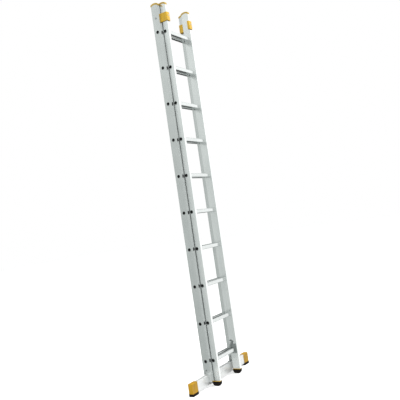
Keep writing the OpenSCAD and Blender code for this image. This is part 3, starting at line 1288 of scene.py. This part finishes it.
@dataclass
class Camera:
    """The camera, by its place, its heading from +Y towards +X, its pitch and its roll."""

    place: tuple[float, float, float] = (-3.6165, -2.336, 1.2099)
    heading: float = 57.16
    pitch: float = 2.49
    roll: float = -8.36
    lens: float = 49.5
    sensor: float = 36.0

    def build(self) -> None:
        """Sets up the camera."""
        data = bpy.data.cameras.new("camera")
        data.lens = self.lens
        data.sensor_width = self.sensor
        camera = bpy.data.objects.new("camera", data)
        bpy.context.scene.collection.objects.link(camera)
        turn = (
            Matrix.Rotation(math.radians(-self.heading), 4, "Z")
            @ Matrix.Rotation(math.radians(90 + self.pitch), 4, "X")
            @ Matrix.Rotation(math.radians(self.roll), 4, "Z")
        )
        camera.matrix_world = Matrix.Translation(self.place) @ turn
        bpy.context.scene.camera = camera


@dataclass(frozen=True)
class Glow:
    """A broad pale patch of the surround, round one direction."""

    way: tuple[float, float, float]
    spread: tuple[float, float]
    level: tuple[float, float, float]


@dataclass
class Studio:
    """A white studio: a pale floor, a pale surround and soft boxes."""

    floor_size: float = 60.0
    ambient: Colour = (0.10, 0.105, 0.103)
    backdrop: Colour = (1.0, 1.0, 1.0)
    glows: tuple[Glow, ...] = (
        Glow((0.84, -0.54, 0.0), (0.60, 0.92), (1.08, 1.09, 1.085)),
        Glow((-0.84, 0.54, 0.0), (0.05, 0.70), (0.38, 0.405, 0.395)),
        Glow((-0.80, 0.50, 0.33), (0.70, 0.95), (0.12, 0.125, 0.123)),
        Glow((-0.60, -0.80, 0.0), (0.45, 0.90), (0.45, 0.46, 0.455)),
        Glow((0.0, 0.0, 1.0), (0.05, 0.90), (0.45, 0.46, 0.455)),
    )

    def floor(self) -> None:
        """Lays the floor."""
        form = Form()
        bmesh.ops.create_grid(
            form.mesh, x_segments=1, y_segments=1, size=self.floor_size / 2
        )
        data = bpy.data.meshes.new("studio_floor")
        form.mesh.to_mesh(data)
        form.mesh.free()
        g = Surface("floor_paint")
        speckle = g.noise((4.0, 4.0, 4.0), 3.0)
        g.set("Base Color", g.between(speckle, (0.86, 0.86, 0.86), (0.9, 0.9, 0.9)))
        g.set("Roughness", 0.9)
        g.set("Specular IOR Level", 0.0)
        g.set("Emission Color", (1.0, 1.0, 1.0))
        g.set("Emission Strength", 0.45)
        data.materials.append(g.material)
        floor = bpy.data.objects.new("studio_floor", data)
        bpy.context.scene.collection.objects.link(floor)
        floor.visible_glossy = False
        floor.visible_diffuse = False

    def surround(self) -> None:
        """Lights the surround: plain white to look at, and soft patches to light by."""
        world = bpy.data.worlds.new("surround")
        bpy.context.scene.world = world
        world.use_nodes = True
        g = Graph(world.node_tree)
        way = g.add("ShaderNodeTexCoord").outputs["Generated"]
        light = self.ambient
        for glow in self.glows:
            near = g.vector("DOT_PRODUCT", way, glow.way).outputs["Value"]
            share = g.ranged(near, glow.spread, (0.0, 1.0))
            part = g.vector("SCALE", glow.level)
            g.join(share, part.inputs["Scale"])
            light = g.vector("ADD", light, part.outputs["Vector"]).outputs["Vector"]
        lit = g.add("ShaderNodeBackground")
        plain = g.add("ShaderNodeBackground")
        mix = g.add("ShaderNodeMixShader")
        g.join(light, lit.inputs["Color"])
        plain.inputs["Color"].default_value = (*self.backdrop, 1.0)
        g.join(g.add("ShaderNodeLightPath").outputs["Is Camera Ray"], mix.inputs["Fac"])
        g.join(lit.outputs["Background"], mix.inputs[1])
        g.join(plain.outputs["Background"], mix.inputs[2])
        out = g.add("ShaderNodeOutputWorld")
        g.join(mix.outputs["Shader"], out.inputs["Surface"])

    def build(self) -> None:
        """Sets up the studio."""
        self.floor()
        self.surround()
        SoftBox("crown", (1.3, -2.2, 3.5), (0, 0, 2.8), (1.2, 1.2), 75.0).build()
        SoftBox("left", (-3.4, -1.6, 1.6), (0, 0, 1.3), (2.0, 3.4), 75.0).build()
        SoftBox("top", (0, 0.4, 5.8), (0, 0, 0), (4.0, 4.0), 90.0).build()
        bpy.context.scene.view_settings.view_transform = "Standard"


# --- assembly ----------------------------------------------------------------------------


def make_finishes(base: Section, fly: Section) -> dict[str, bpy.types.Material]:
    """Makes every finish of the ladder.

    Args:
        base: the base section.
        fly: the fly section.

    Returns:
        The materials, by the record's slot names, and one more for each section's rungs.
    """
    # the radius of the shade painted inside each rung's tube
    bore = 12.3 * MM
    return {
        "base_stile": DrawnAluminium("base_stile_aluminium", Axis.Z).material(),
        # painted light: the fly stiles take a lighter copy of the same aluminium, standing for
        # the brighter light on their webs
        "fly_stile": DrawnAluminium(
            "fly_stile_aluminium_painted_light", Axis.Z, light=(0.96, 0.975, 0.97), dark=(0.84, 0.86, 0.855)
        ).material(),
        "base_rung": DrawnAluminium(
            "base_rung_aluminium", Axis.X, bore_shade=base.bore_shade(bore)
        ).material(),
        "fly_rung": DrawnAluminium(
            "fly_rung_aluminium", Axis.X, bore_shade=fly.bore_shade(bore)
        ).material(),
        "bar_aluminium": DrawnAluminium(
            "bar_aluminium",
            Axis.X,
            light=(0.93, 0.94, 0.935),
            dark=(0.86, 0.87, 0.865),
            roughness=0.28,
            metallic=0.35,
        ).material(),
        "yellow_plastic": MouldedPlastic(
            "yellow_plastic", (0.67, 0.395, 0.020), (0.72, 0.48, 0.09)
        ).material(),
        "guide_plastic": MouldedPlastic(
            "guide_plastic", (0.64, 0.385, 0.016), (0.72, 0.48, 0.09), 0.38, 1.65
        ).material(),
        # painted shade: a darker copy of the yellow plastic, standing for the dimmer light down
        # at the floor
        "bar_cap_plastic_painted_shade": MouldedPlastic(
            "bar_cap_plastic_painted_shade", (0.58, 0.315, 0.010), (0.64, 0.40, 0.05), roughness=0.5
        ).material(),
        # painted shade: a darker, olive copy of the yellow plastic, standing for the shade the
        # thin top caps lie in
        "cap_plastic_painted_shade": MouldedPlastic(
            "cap_plastic_painted_shade", (0.50, 0.33, 0.055), (0.6, 0.45, 0.16)
        ).material(),
        "black_plastic": MouldedPlastic(
            "black_plastic", (0.035, 0.032, 0.028), (0.10, 0.095, 0.09)
        ).material(),
        "black_rubber": Rubber("black_rubber").material(),
        "galvanised_steel": Galvanised("galvanised_steel").material(),
        "zinc_steel": ZincPlate("zinc_steel").material(),
    }


def main() -> None:
    """Builds the ladder's looks and its studio."""
    logging.basicConfig(level=logging.INFO, format="%(name)s: %(message)s")
    base = Section("base", "base_section")
    fly = Section("fly", "fly_section")
    shop = Workshop(make_finishes(base, fly))
    for section in (base, fly):
        section.dress(shop)
        for side in SIDES:
            TopCap().build(section, side, shop)
    for side in SIDES:
        Guide().build(side, shop)
    Stabiliser().build(shop)
    Foot().build(shop)
    Hooks().dress(shop)
    Fasteners(HexHead(13 * MM, 5.3 * MM, 8 * MM)).build(shop)
    Camera().build()
    Studio().build()


if __name__ == "__main__":
    main()
